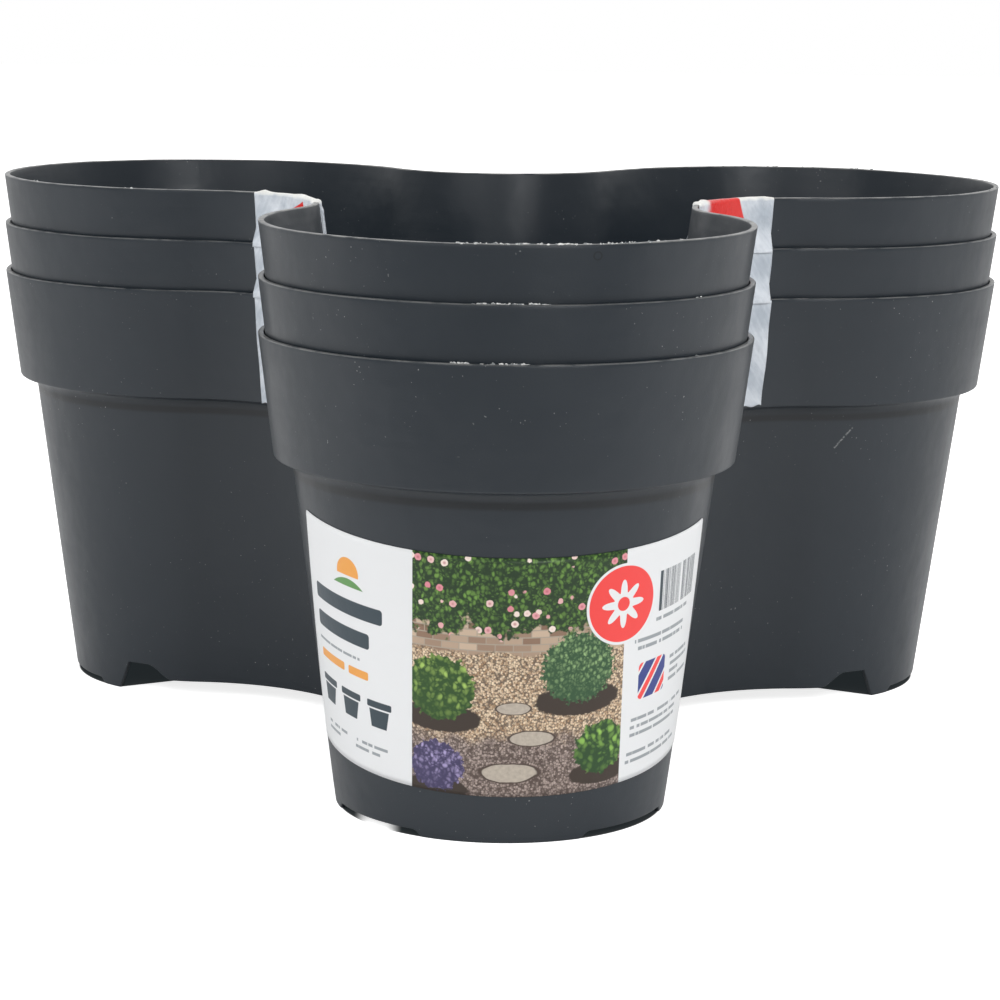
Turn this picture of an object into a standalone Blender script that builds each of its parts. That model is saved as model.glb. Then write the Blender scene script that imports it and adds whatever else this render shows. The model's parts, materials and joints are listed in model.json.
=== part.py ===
"""Tiered planter, packed as it is sold: three alike three-lobed pots nested in one another.

Each pot is one moulding: a tapered wall with a wide rim band, a shoulder under the band, a raised
floor with drain holes, and a skirt that stands on feet. Notches in the skirt let the rim of the tier
below pass through when a tier is turned by a sixth of a turn and stacked. A paper label is stuck on
the front lobe of the lowest pot. Two strips of packing tape run from inside the top rim down over all
three rims. Each is slit at the two lower rims, as when the pack is opened, so that the pots can lift.

Metres, +Z up. The origin is under the middle of the pack's box, on the ground. The front is -Y.
"""

import math

import bpy
import bmesh

# One pot, in plan. The outline is given at the outside of the rim.
RIM_RADIUS = 0.080              # of a lobe
STACK_OVERLAP = 0.0104          # how far a lobe's rim reaches inside the skirt of the tier stacked on it
VALLEY_RADIUS = 0.049           # of the hollow curve between two lobes

# One pot, in height
POT_HEIGHT = 0.155
BAND_HEIGHT = 0.040             # the wide band under the rim
BAND_STEP = 0.0058              # how far the wall steps in under the band
BAND_CORNER = 0.0010            # round on the band's lower corner
SHOULDER_RADIUS = 0.0040        # hollow round between the band's underside and the wall
RIM_CHAMFER = 0.0005
LEDGE_RISE = 0.0005             # slope from the ledge inside the shoulder to the band's inner face

# Wall and nesting
DRAFT = math.radians(7.25)      # taper of the band and of the wall
WALL = 0.00195                  # thickness, measured level
NEST_CLEARANCE = 0.00034        # level gap between two nested walls
FLOOR_THICKNESS = 0.0020

# Skirt: lengths along its lower edge, and heights over the ground
FOOT_LENGTH = 0.0510            # the foot at each lobe's tip
SKIRT_RAISE = 0.0022            # edge beside the foot
FOOT_EASE = 0.0038              # length of the curve from the foot to the raised edge
PAD_LENGTH = 0.0080             # the small foot beside each notch
PAD_EASE = 0.0028
NOTCH_HEIGHT = 0.0109           # where the rim of the tier below seats
NOTCH_SIDE = 0.0057             # run of the notch's straight side
NOTCH_OUTER_PLAY = 0.0050       # from the rim below to the straight side
NOTCH_INNER_PLAY = 0.0004       # from the rim below to the curved side
NOTCH_EASE = 0.0100             # length of the curve from the notch to the flank
FLANK_RAISE = 0.0053            # edge between the notches, round each valley
FLOOR_OVER_NOTCH = 0.0005       # from the notch's top to the floor's underside

# Drain holes: a few in each lobe, and one in the middle
DRAIN_RADIUS = 0.0040
DRAIN_RING_RADIUS = 0.0300
DRAINS_PER_LOBE = 3
DRAIN_SIDES = 12

# Label on the lowest pot
LABEL_ARC = math.radians(75)    # to each side of the front lobe's tip
LABEL_TOP_MARGIN = 0.0167       # below the shoulder
LABEL_BOTTOM_MARGIN = 0.0158    # above the ground
LABEL_ARCH = 0.0015             # how far the label's long edges are cut in an arch
LABEL_THICKNESS = 0.0003

# Packing tapes, which run over the three rims in the two front valleys
TAPE_WIDTH = 0.048
TAPE_THICKNESS = 0.0003
RIGHT_TAPE_SHIFT = 0.008        # off the valley's middle, towards the rear lobe
LEFT_TAPE_SHIFT = 0.0
TAPE_INNER_LEG = 0.012
TAPE_BRIDGE = 0.0050            # height at which the tape leaves a band for the rim below it
TAPE_END_MARGIN = 0.002         # from the tape's lower end to the lowest band's lower edge

SKIN_GAP = 0.0003               # between a label or tape and what it is stuck on

TIERS = ("bottom", "middle", "top")
LOWEST = 0
HIGHEST = len(TIERS) - 1
LOBES = 3
LOBE_STEPS = 24
VALLEY_STEPS = 8                # even, so that a corner lies in the middle of each valley
EASE_STEPS = 4
SHOULDER_STEPS = 2
PITCH_ANGLE = math.tau/LOBES
FRONT = -math.pi/2

# Worked out from the sizes above
TAPER = math.tan(DRAFT)
NEST_PITCH = (WALL + NEST_CLEARANCE)/TAPER
SKIRT_RADIUS = RIM_RADIUS - BAND_STEP - (POT_HEIGHT - NOTCH_HEIGHT)*TAPER     # of a lobe, at the notches
LOBE_PITCH = RIM_RADIUS + SKIRT_RADIUS - STACK_OVERLAP      # from the pot's middle to each lobe's
BAND_BOTTOM = POT_HEIGHT - BAND_HEIGHT
NECK = BAND_BOTTOM - SHOULDER_RADIUS
FLOOR_BOTTOM = NOTCH_HEIGHT + FLOOR_OVER_NOTCH
FLOOR_TOP = FLOOR_BOTTOM + FLOOR_THICKNESS
TANGENT_SPAN = RIM_RADIUS + VALLEY_RADIUS
VALLEY_DISTANCE = (LOBE_PITCH + math.sqrt(4*TANGENT_SPAN**2 - 3*LOBE_PITCH**2))/2
LOBE_HALF_ARC = math.atan2(VALLEY_DISTANCE*math.sin(PITCH_ANGLE/2),
                           VALLEY_DISTANCE*math.cos(PITCH_ANGLE/2) - LOBE_PITCH)
VALLEY_HALF_ARC = LOBE_HALF_ARC - PITCH_ANGLE/2
LOBE_STEP = 2*LOBE_HALF_ARC/LOBE_STEPS
VALLEY_STEP = 2*VALLEY_HALF_ARC/VALLEY_STEPS
STEPS_PER_LOBE = LOBE_STEPS + VALLEY_STEPS
CORNERS = LOBES*STEPS_PER_LOBE
MIDDLE_Y = LOBE_PITCH/4         # puts the middle of the pack's box over the origin


def band_inset(z):
    """How far the band's outside lies inside the rim's outline at height z."""
    return (POT_HEIGHT - z)*TAPER


def wall_inset(z):
    """The same for the wall under the shoulder."""
    return band_inset(z) + BAND_STEP


def outline_corner(number, inset, z):
    """One corner of the outline, drawn in by inset. The corners run anticlockwise from the front lobe."""
    lobe, step = divmod(number % CORNERS, STEPS_PER_LOBE)
    direction = FRONT + lobe*PITCH_ANGLE
    if step <= LOBE_STEPS:
        distance = LOBE_PITCH
        radius = RIM_RADIUS - inset
        angle = direction - LOBE_HALF_ARC + step*LOBE_STEP
    else:
        direction += PITCH_ANGLE/2
        distance = VALLEY_DISTANCE
        radius = VALLEY_RADIUS + inset
        angle = direction + math.pi + VALLEY_HALF_ARC - (step - LOBE_STEPS)*VALLEY_STEP
    x = distance*math.cos(direction) + radius*math.cos(angle)
    y = distance*math.sin(direction) + radius*math.sin(angle)
    return x, y, z


def outline_point(place, inset, z):
    """A point between two corners, on the flat facet that joins them."""
    number = math.floor(place)
    share = place - number
    start = outline_corner(number, inset, z)
    if share == 0:
        return start
    end = outline_corner(number + 1, inset, z)
    return tuple(a + (b - a)*share for a, b in zip(start, end))


def eased(start, end, low, high):
    """Points of a smooth curve from one height to another along the skirt."""
    points = []
    for step in range(EASE_STEPS + 1):
        share = step/EASE_STEPS
        rise = share*share*(3 - 2*share)
        points.append((start + (end - start)*share, low + (high - low)*rise))
    return points


def rim_crossing(rim_radius):
    """Angle from a lobe's tip where the rim below, turned by half a pitch, crosses the skirt."""
    reach = (LOBE_PITCH**2 + SKIRT_RADIUS**2 - rim_radius**2)/(2*LOBE_PITCH)
    return PITCH_ANGLE - math.acos(reach/SKIRT_RADIUS)


def skirt_profile():
    """The skirt's lower edge: (angle from the lobe's tip, height), from the tip to the flank."""
    radius = RIM_RADIUS - wall_inset(0)
    foot_end = FOOT_LENGTH/2/radius
    notch_top_start = rim_crossing(RIM_RADIUS) - NOTCH_OUTER_PLAY/radius
    notch_top_end = rim_crossing(RIM_RADIUS - WALL) + NOTCH_INNER_PLAY/radius
    pad_end = notch_top_start - NOTCH_SIDE/radius
    pad_start = pad_end - PAD_LENGTH/radius
    points = [(0, 0)]
    points += eased(foot_end, foot_end + FOOT_EASE/radius, 0, SKIRT_RAISE)
    points += eased(pad_start - PAD_EASE/radius, pad_start, SKIRT_RAISE, 0)
    points += [(pad_end, 0), (notch_top_start, NOTCH_HEIGHT)]
    points += eased(notch_top_end, notch_top_end + NOTCH_EASE/radius, NOTCH_HEIGHT, FLANK_RAISE)
    return points


def skirt_height(angle, profile):
    """Height of the skirt's lower edge at an angle from the lobe's tip."""
    for (start, low), (end, high) in zip(profile, profile[1:]):
        if angle <= end:
            return low + (high - low)*(angle - start)/(end - start)
    return profile[-1][1]


def skirt_edge(profile):
    """(place, height) all the way round: every corner of the outline, and every bend of the skirt."""
    edge = []
    for lobe in range(LOBES):
        first = lobe*STEPS_PER_LOBE
        angles = {-LOBE_HALF_ARC + step*LOBE_STEP: first + step for step in range(LOBE_STEPS + 1)}
        for bend, _ in profile:
            for angle in (-bend, bend):
                angles.setdefault(angle, first + (angle + LOBE_HALF_ARC)/LOBE_STEP)
        edge += [(place, skirt_height(abs(angle), profile)) for angle, place in angles.items()]
        edge += [(first + LOBE_STEPS + step, profile[-1][1]) for step in range(1, VALLEY_STEPS)]
    edge.sort()
    merged = [edge[0]]
    for point in edge[1:]:
        if point[0] - merged[-1][0] > 1e-3:
            merged.append(point)
        elif point[0] == round(point[0]):
            merged[-1] = point
    return merged


def shoulder_arc(radius):
    """(inset, z) along a round about the shoulder's centre, from the wall up to the band's underside."""
    centre = wall_inset(NECK) - SHOULDER_RADIUS
    points = []
    for step in range(SHOULDER_STEPS + 1):
        angle = step/SHOULDER_STEPS*math.pi/2
        points.append((centre + radius*math.cos(angle), NECK + radius*math.sin(angle)))
    return points


def outer_profile():
    """(inset, z) down the outside, from the rim's top to the neck."""
    corner = band_inset(BAND_BOTTOM)
    bevel = BAND_CORNER*(1 - math.sqrt(0.5))
    return [(RIM_CHAMFER, POT_HEIGHT),
            (band_inset(POT_HEIGHT - RIM_CHAMFER), POT_HEIGHT - RIM_CHAMFER),
            (band_inset(BAND_BOTTOM + BAND_CORNER), BAND_BOTTOM + BAND_CORNER),
            (corner + bevel, BAND_BOTTOM + bevel),
            (corner + BAND_CORNER, BAND_BOTTOM)] + shoulder_arc(SHOULDER_RADIUS)[::-1]


def inner_profile():
    """(inset, z) up the inside, from the floor to the rim's top."""
    arc = shoulder_arc(SHOULDER_RADIUS + WALL)
    ledge = arc[-1][1] + LEDGE_RISE
    low_rim = POT_HEIGHT - RIM_CHAMFER
    return [(wall_inset(FLOOR_TOP) + WALL, FLOOR_TOP)] + arc + [
        (band_inset(ledge) + WALL, ledge),
        (band_inset(low_rim) + WALL, low_rim),
        (WALL - RIM_CHAMFER, POT_HEIGHT)]


def add_ring(mesh, inset, z):
    return [mesh.verts.new(outline_corner(number, inset, z)) for number in range(CORNERS)]


def join_rings(mesh, lower, upper):
    for number in range(CORNERS):
        after = (number + 1) % CORNERS
        mesh.faces.new((lower[number], lower[after], upper[after], upper[number]))


def join_skirt(mesh, ring, edge_places, edge_verts):
    """One flat face for each facet, from a ring of corners down to the bends of the skirt's edge."""
    for number in range(CORNERS):
        below = [vert for place, vert in zip(edge_places, edge_verts) if number <= place <= number + 1]
        if number == CORNERS - 1:
            below.append(edge_verts[0])
        mesh.faces.new(below + [ring[(number + 1) % CORNERS], ring[number]])


def pot_solid():
    """One pot as a closed mesh, still without drain holes."""
    mesh = bmesh.new()
    rings = [add_ring(mesh, inset, z) for inset, z in outer_profile()]
    inner = [add_ring(mesh, inset, z) for inset, z in inner_profile()]
    for upper, lower in zip(rings, rings[1:]):
        join_rings(mesh, lower, upper)
    for lower, upper in zip(inner, inner[1:]):
        join_rings(mesh, lower, upper)
    join_rings(mesh, rings[0], inner[-1])
    edge = skirt_edge(skirt_profile())
    places = [place for place, _ in edge]
    outside = [mesh.verts.new(outline_point(place, wall_inset(z), z)) for place, z in edge]
    inside = [mesh.verts.new(outline_point(place, wall_inset(z) + WALL, z)) for place, z in edge]
    underside = add_ring(mesh, wall_inset(FLOOR_BOTTOM) + WALL, FLOOR_BOTTOM)
    join_skirt(mesh, rings[-1], places, outside)
    join_skirt(mesh, underside, places, inside)
    for number in range(len(edge)):
        after = (number + 1) % len(edge)
        mesh.faces.new((outside[number], outside[after], inside[after], inside[number]))
    mesh.faces.new(underside)
    mesh.faces.new(inner[0])
    bmesh.ops.recalc_face_normals(mesh, faces=mesh.faces)
    data = bpy.data.meshes.new("pot")
    mesh.to_mesh(data)
    mesh.free()
    return data


def drain_cutter():
    """One cylinder for each drain hole."""
    spots = [(0, 0)]
    for lobe in range(LOBES):
        direction = FRONT + lobe*PITCH_ANGLE
        for hole in range(DRAINS_PER_LOBE):
            angle = direction + hole*math.tau/DRAINS_PER_LOBE
            x = LOBE_PITCH*math.cos(direction) + DRAIN_RING_RADIUS*math.cos(angle)
            y = LOBE_PITCH*math.sin(direction) + DRAIN_RING_RADIUS*math.sin(angle)
            spots.append((x, y))
    mesh = bmesh.new()
    for x, y in spots:
        made = bmesh.ops.create_cone(mesh, cap_ends=True, segments=DRAIN_SIDES, radius1=DRAIN_RADIUS,
                                     radius2=DRAIN_RADIUS, depth=3*FLOOR_THICKNESS)
        middle = FLOOR_BOTTOM + FLOOR_THICKNESS/2
        bmesh.ops.translate(mesh, verts=made["verts"], vec=(x, y, middle))
    data = bpy.data.meshes.new("drain_cutter")
    mesh.to_mesh(data)
    mesh.free()
    cutter = bpy.data.objects.new("drain_cutter", data)
    cutter.hide_render = True
    cutter.display_type = "WIRE"
    bpy.context.scene.collection.objects.link(cutter)
    return cutter


def add_object(name, data, material, location=(0, 0, 0), parent=None):
    piece = bpy.data.objects.new(name, data)
    bpy.context.scene.collection.objects.link(piece)
    if not data.materials:
        data.materials.append(material)
    data.shade_smooth()
    data.set_sharp_from_angle(angle=math.radians(25))
    piece.parent = parent
    piece.location = location
    return piece


def add_pots(material):
    """Three pots that share one mesh, nested one in another."""
    data = pot_solid()
    cutter = drain_cutter()
    cutter.location.y = MIDDLE_Y
    pots = []
    for tier, name in enumerate(TIERS):
        pot = add_object(f"{name}_pot", data, material, (0, MIDDLE_Y, tier*NEST_PITCH))
        drains = pot.modifiers.new("drains", "BOOLEAN")
        drains.operation = "DIFFERENCE"
        drains.solver = "EXACT"
        if tier == LOWEST:
            drains.object = cutter
        else:
            drains.object = cutter.copy()
            drains.object.location.z = tier*NEST_PITCH
            bpy.context.scene.collection.objects.link(drains.object)
        pots.append(pot)
    return pots


def strip_solid(name, columns):
    """A closed solid swept from one end section to the other. Each column is one section's loop."""
    mesh = bmesh.new()
    loops = [[mesh.verts.new(point) for point in column] for column in columns]
    for loop, following in zip(loops, loops[1:]):
        for number in range(len(loop)):
            after = (number + 1) % len(loop)
            mesh.faces.new((loop[number], loop[after], following[after], following[number]))
    mesh.faces.new(loops[0])
    mesh.faces.new(loops[-1])
    bmesh.ops.recalc_face_normals(mesh, faces=mesh.faces)
    data = bpy.data.meshes.new(name)
    mesh.to_mesh(data)
    mesh.free()
    return data


def places_between(start, end):
    """The two ends of a strip, with every corner of the outline between them."""
    return [start] + list(range(math.floor(start) + 1, math.ceil(end))) + [end]


def label_edge(angle, middle):
    """Height of a straight edge of the label, at an angle from the lobe's tip, once it is wrapped.

    The wall is part of a cone, and a sheet's straight edge climbs as it goes round a cone.
    """
    middle_distance = (RIM_RADIUS - wall_inset(middle))/math.sin(DRAFT)
    turned = angle*math.sin(DRAFT)
    arch = LABEL_ARCH*(angle/LABEL_ARC)**2
    distance = (middle_distance - arch)/math.cos(turned)
    return middle + (distance - middle_distance)*math.cos(DRAFT)


def add_label(material, pot):
    top_middle = NECK - LABEL_TOP_MARGIN
    start = (LOBE_HALF_ARC - LABEL_ARC)/LOBE_STEP
    end = (LOBE_HALF_ARC + LABEL_ARC)/LOBE_STEP
    columns = []
    for place in places_between(start, end):
        angle = place*LOBE_STEP - LOBE_HALF_ARC
        low = label_edge(angle, LABEL_BOTTOM_MARGIN)
        high = label_edge(angle, top_middle)
        section = []
        for lift, z in ((SKIN_GAP, low), (SKIN_GAP + LABEL_THICKNESS, low),
                        (SKIN_GAP + LABEL_THICKNESS, high), (SKIN_GAP, high)):
            section.append(outline_point(place, wall_inset(z) - lift, z))
        columns.append(section)
    add_object("wrap_label", strip_solid("wrap_label", columns), material, parent=pot)


def place_along_rim(start, length):
    """The place that lies a given length along the rim's facets from a corner, either way round."""
    way = 1 if length >= 0 else -1
    left = abs(length)
    number = start
    while True:
        here = outline_corner(number, 0, 0)
        there = outline_corner(number + way, 0, 0)
        side = math.dist(here, there)
        if left <= side:
            return number + way*left/side
        left -= side
        number += way


def tape_line(tier):
    """(inset, z) down the face that one tier's stretch of tape is stuck on, in the pot's own heights."""
    if tier == LOWEST:
        low = BAND_BOTTOM + TAPE_END_MARGIN
        line = [(0, POT_HEIGHT), (band_inset(low), low)]
    else:
        rim_below = POT_HEIGHT - NEST_PITCH + SKIN_GAP
        leaves = rim_below + TAPE_BRIDGE
        line = [(0, POT_HEIGHT), (band_inset(leaves), leaves), (0, rim_below)]
    return line


def tape_section(tier):
    """The stretch's closed section: its outer face, then the face towards the plastic."""
    line = tape_line(tier)
    far = SKIN_GAP + TAPE_THICKNESS
    outer = [(inset - far, z) for inset, z in line]
    inner = [(inset - SKIN_GAP, z) for inset, z in line]
    if tier == HIGHEST:
        leg_end = POT_HEIGHT - TAPE_INNER_LEG
        leg_inset = band_inset(leg_end) + WALL
        outer = [(leg_inset + far, leg_end), (WALL + far, POT_HEIGHT + far),
                 (-far, POT_HEIGHT + far)] + outer[1:]
        inner = [(leg_inset + SKIN_GAP, leg_end), (WALL + SKIN_GAP, POT_HEIGHT + SKIN_GAP),
                 (-SKIN_GAP, POT_HEIGHT + SKIN_GAP)] + inner[1:]
    return outer + inner[::-1]


def add_tape(side, lobe, shift, material, pots):
    """One strip over the three rims, as a stretch on each pot."""
    waist = lobe*STEPS_PER_LOBE + LOBE_STEPS + VALLEY_STEPS//2
    start = place_along_rim(waist, shift - TAPE_WIDTH/2)
    end = place_along_rim(waist, shift + TAPE_WIDTH/2)
    for tier, pot in enumerate(pots):
        section = tape_section(tier)
        columns = [[outline_point(place, inset, z) for inset, z in section]
                   for place in places_between(start, end)]
        name = f"{side}_tape_{TIERS[tier]}"
        add_object(name, strip_solid(name, columns), material, parent=pot)


def add_material(name, colour, roughness):
    material = bpy.data.materials.new(name)
    material.use_nodes = True
    shader = material.node_tree.nodes["Principled BSDF"]
    shader.inputs["Base Color"].default_value = (*colour, 1)
    shader.inputs["Roughness"].default_value = roughness
    shader.inputs["Metallic"].default_value = 0
    return material


def main():
    for item in list(bpy.data.objects):
        bpy.data.objects.remove(item, do_unlink=True)
    plastic = add_material("charcoal_plastic", (0.048, 0.056, 0.060), 0.45)
    paper = add_material("label_paper", (0.80, 0.82, 0.82), 0.50)
    film = add_material("tape_film", (0.60, 0.66, 0.74), 0.35)
    pots = add_pots(plastic)
    add_label(paper, pots[LOWEST])
    add_tape("right", 0, RIGHT_TAPE_SHIFT, film, pots)
    add_tape("left", 2, -LEFT_TAPE_SHIFT, film, pots)


main()
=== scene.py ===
"""Looks of the tiered planter: three nested pots, a wrap label and slit packing tapes, in a white studio.

Metres, in the part's own frame: +Z up, the front at -Y, the ground at z = 0.
"""

import json
import math
import random
from collections import namedtuple
from functools import partial, reduce

import bmesh
import bpy
from mathutils import Matrix, Vector, noise


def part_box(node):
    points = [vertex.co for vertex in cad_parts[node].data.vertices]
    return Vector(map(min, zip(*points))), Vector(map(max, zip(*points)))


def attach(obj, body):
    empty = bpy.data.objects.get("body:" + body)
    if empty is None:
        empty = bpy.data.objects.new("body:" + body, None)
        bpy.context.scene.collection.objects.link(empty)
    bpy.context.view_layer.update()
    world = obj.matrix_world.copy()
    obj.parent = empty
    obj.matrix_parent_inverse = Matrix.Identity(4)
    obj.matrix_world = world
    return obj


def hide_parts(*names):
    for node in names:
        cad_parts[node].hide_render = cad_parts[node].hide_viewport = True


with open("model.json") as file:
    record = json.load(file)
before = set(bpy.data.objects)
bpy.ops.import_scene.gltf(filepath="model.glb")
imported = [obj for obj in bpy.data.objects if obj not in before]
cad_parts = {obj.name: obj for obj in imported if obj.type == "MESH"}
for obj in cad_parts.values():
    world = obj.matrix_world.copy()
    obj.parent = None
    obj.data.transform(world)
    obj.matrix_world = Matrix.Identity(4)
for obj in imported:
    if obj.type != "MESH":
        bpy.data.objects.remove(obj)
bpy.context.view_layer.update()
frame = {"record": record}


def mount_place(name):
    return next(mount["pos_m"] for mount in frame["record"]["mounts"] if mount["name"] == name)


# Sizes of the pots that the frame gives
POT_LOW, POT_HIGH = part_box("bottom_pot")
POT_HEIGHT = POT_HIGH.z - POT_LOW.z
NEST_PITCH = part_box("middle_pot")[0].z - POT_LOW.z
FRONT_LOBE_Y = mount_place("plant_floor")[1]
LOBE_PITCH = -FRONT_LOBE_Y*4/3
MIDDLE_Y = LOBE_PITCH/4  # of the outline, which lies a little behind the origin
RIM_RADIUS = FRONT_LOBE_Y - POT_LOW.y

# Sizes of the pots that the solids are made with
VALLEY_RADIUS = 0.049
BAND_HEIGHT = 0.040
BAND_STEP = 0.0058
SHOULDER_RADIUS = 0.0040
TAPER = math.tan(math.radians(7.25))
WALL = 0.00195
FLOOR_TOP = mount_place("plant_floor")[2] - 2*NEST_PITCH
FLOOR_BOTTOM = FLOOR_TOP - 0.0020
FOOT_LENGTH = 0.0510
SKIRT_RAISE = 0.0022
FOOT_EASE = 0.0038
PAD_LENGTH = 0.0080
PAD_EASE = 0.0028
NOTCH_HEIGHT = FLOOR_BOTTOM - 0.0005
NOTCH_SIDE = 0.0057
NOTCH_OUTER_PLAY = 0.0050
NOTCH_INNER_PLAY = 0.0004
NOTCH_EASE = 0.0100
FLANK_RAISE = 0.0053
DRAIN_RADIUS = 0.0040
DRAIN_RING_RADIUS = 0.0300
DRAINS_PER_LOBE = 3

# Rounded edges and fine steps, which the solids leave out
RIM_ROUND = 0.00045
BAND_ROUND = 0.0008
SKIRT_ROUND = 0.0004
LEDGE_RISE = 0.0005
FLOOR_FILLET = 0.0025
HOLD = 0.0010  # from a rounded edge to the next row of the wall, keeps the shading flat
LOBES = 3
LOBE_COLUMNS = 72
VALLEY_COLUMNS = 36
EASE_STEPS = 10
DRAIN_SIDES = 28
BEND_CLEARANCE = math.radians(0.4)  # no even step of the outline lies nearer to a bend of the skirt

# Steps of the rounds and rows of the straight stretches along a section of the wall
EDGE_STEPS = 4
SHOULDER_STEPS = 7
SKIRT_STEPS = 3
FILLET_STEPS = 5
OUTER_BAND_ROWS = 9
INNER_BAND_ROWS = 8
WALL_ROWS = 12

TIERS = ("bottom", "middle", "top")
PITCH_ANGLE = math.tau/LOBES
FRONT = -math.pi/2
BAND_BOTTOM = POT_HEIGHT - BAND_HEIGHT
NECK = BAND_BOTTOM - SHOULDER_RADIUS
TANGENT_SPAN = RIM_RADIUS + VALLEY_RADIUS
VALLEY_DISTANCE = (LOBE_PITCH + math.sqrt(4*TANGENT_SPAN**2 - 3*LOBE_PITCH**2))/2
LOBE_HALF_ARC = math.atan2(VALLEY_DISTANCE*math.sin(PITCH_ANGLE/2),
                           VALLEY_DISTANCE*math.cos(PITCH_ANGLE/2) - LOBE_PITCH)
VALLEY_HALF_ARC = LOBE_HALF_ARC - PITCH_ANGLE/2

# A place on the outline: the centre and rim radius of its arc, +1 if the arc grows as the outline draws
# in, the angle about the centre, and the angle from the lobe's tip, if the place is on a lobe.
Column = namedtuple("Column", "x y radius grow angle local")


def band_inset(z):
    return (POT_HEIGHT - z)*TAPER


def wall_inset(z):
    return band_inset(z) + BAND_STEP


def polar(distance, angle):
    return distance*math.cos(angle), distance*math.sin(angle)


def lobe_column(lobe, local):
    direction = FRONT + lobe*PITCH_ANGLE
    x, y = polar(LOBE_PITCH, direction)
    return Column(x, y + MIDDLE_Y, RIM_RADIUS, -1, direction + local, local)


def valley_column(valley, local):
    """Local runs clockwise about the valley's own centre, so that columns run anticlockwise."""
    direction = FRONT + (valley + 0.5)*PITCH_ANGLE
    x, y = polar(VALLEY_DISTANCE, direction)
    return Column(x, y + MIDDLE_Y, VALLEY_RADIUS, 1, direction + math.pi - local, None)


def point(column, inset, z):
    radius = column.radius + column.grow*inset
    x, y = polar(radius, column.angle)
    return Vector((column.x + x, column.y + y, z))


# Skirt

def eased(start, end, low, high):
    points = []
    for step in range(EASE_STEPS + 1):
        share = step/EASE_STEPS
        points.append((start + (end - start)*share, low + (high - low)*share*share*(3 - 2*share)))
    return points


def rim_crossing(rim_radius):
    """Angle from a lobe's tip where the rim of the tier below, turned, crosses the skirt."""
    skirt_radius = RIM_RADIUS - wall_inset(NOTCH_HEIGHT)
    reach = (LOBE_PITCH**2 + skirt_radius**2 - rim_radius**2)/(2*LOBE_PITCH)
    return PITCH_ANGLE - math.acos(reach/skirt_radius)


def skirt_profile():
    """(angle from the lobe's tip, height) along the skirt's lower edge, from the tip to the flank."""
    radius = RIM_RADIUS - wall_inset(0)
    foot_end = FOOT_LENGTH/2/radius
    top_start = rim_crossing(RIM_RADIUS) - NOTCH_OUTER_PLAY/radius
    top_end = rim_crossing(RIM_RADIUS - WALL) + NOTCH_INNER_PLAY/radius
    pad_end = top_start - NOTCH_SIDE/radius
    pad_start = pad_end - PAD_LENGTH/radius
    points = [(0, 0)]
    points += eased(foot_end, foot_end + FOOT_EASE/radius, 0, SKIRT_RAISE)
    points += eased(pad_start - PAD_EASE/radius, pad_start, SKIRT_RAISE, 0)
    points += [(pad_end, 0), (top_start, NOTCH_HEIGHT)]
    points += eased(top_end, top_end + NOTCH_EASE/radius, NOTCH_HEIGHT, FLANK_RAISE)
    return points


def skirt_height(column, profile):
    if column.local is None:
        return profile[-1][1]
    angle = abs(column.local)
    for (start, low), (end, high) in zip(profile, profile[1:]):
        if angle <= end:
            return low + (high - low)*(angle - start)/(end - start)
    return profile[-1][1]


def outline_columns(profile):
    """All columns, anticlockwise from the front lobe: even steps, and every bend of the skirt."""
    bends = sorted({side*angle for angle, _ in profile for side in (-1, 1)})
    columns = []
    for lobe in range(LOBES):
        steps = [LOBE_HALF_ARC*(2*step/LOBE_COLUMNS - 1) for step in range(LOBE_COLUMNS + 1)]
        inner = [angle for angle in steps[1:-1]
                 if min(abs(angle - bend) for bend in bends) > BEND_CLEARANCE]
        for angle in sorted([steps[0]] + inner + bends + [steps[-1]]):
            columns.append(lobe_column(lobe, angle))
        for step in range(1, VALLEY_COLUMNS):
            columns.append(valley_column(lobe, VALLEY_HALF_ARC*(2*step/VALLEY_COLUMNS - 1)))
    return columns


# Sections

def quarter(inset, z, radius, turn, steps):
    """(inset, z) along a round. Angle 0 points inwards, 90 degrees up, and turn is the first and last."""
    points = []
    for step in range(steps + 1):
        angle = math.radians(turn[0] + (turn[1] - turn[0])*step/steps)
        points.append((inset + radius*math.cos(angle), z + radius*math.sin(angle)))
    return points


def between(start, end, rows):
    """Points strictly between two (inset, z) points."""
    return [(start[0] + (end[0] - start[0])*row/rows, start[1] + (end[1] - start[1])*row/rows)
            for row in range(1, rows)]


def straight(inset_at, start_z, end_z, rows, inwards=0.0):
    """Points of a straight stretch between two heights, ends included."""
    start = (inset_at(start_z) + inwards, start_z)
    end = (inset_at(end_z) + inwards, end_z)
    return [start] + between(start, end, rows) + [end]


def outer_section(skirt):
    """(inset, z) from the rim's top, down the outside, under the skirt and up to the floor's underside."""
    rim_z = POT_HEIGHT - RIM_ROUND
    band_z = BAND_BOTTOM + BAND_ROUND
    low_z = skirt + SKIRT_ROUND
    points = quarter(band_inset(rim_z) + RIM_ROUND, rim_z, RIM_ROUND, (90, 180), EDGE_STEPS)
    points += straight(band_inset, rim_z - HOLD, band_z + HOLD, OUTER_BAND_ROWS)
    points += quarter(band_inset(band_z) + BAND_ROUND, band_z, BAND_ROUND, (180, 270), EDGE_STEPS)
    points += quarter(wall_inset(NECK) - SHOULDER_RADIUS, NECK, SHOULDER_RADIUS, (90, 0), SHOULDER_STEPS)
    points += straight(wall_inset, NECK - HOLD, low_z + HOLD, WALL_ROWS)
    points += quarter(wall_inset(low_z) + SKIRT_ROUND, low_z, SKIRT_ROUND, (180, 270), SKIRT_STEPS)
    points += quarter(wall_inset(low_z) + WALL - SKIRT_ROUND, low_z, SKIRT_ROUND, (270, 360), SKIRT_STEPS)
    points.append((wall_inset(FLOOR_BOTTOM) + WALL, FLOOR_BOTTOM))
    return points


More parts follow.
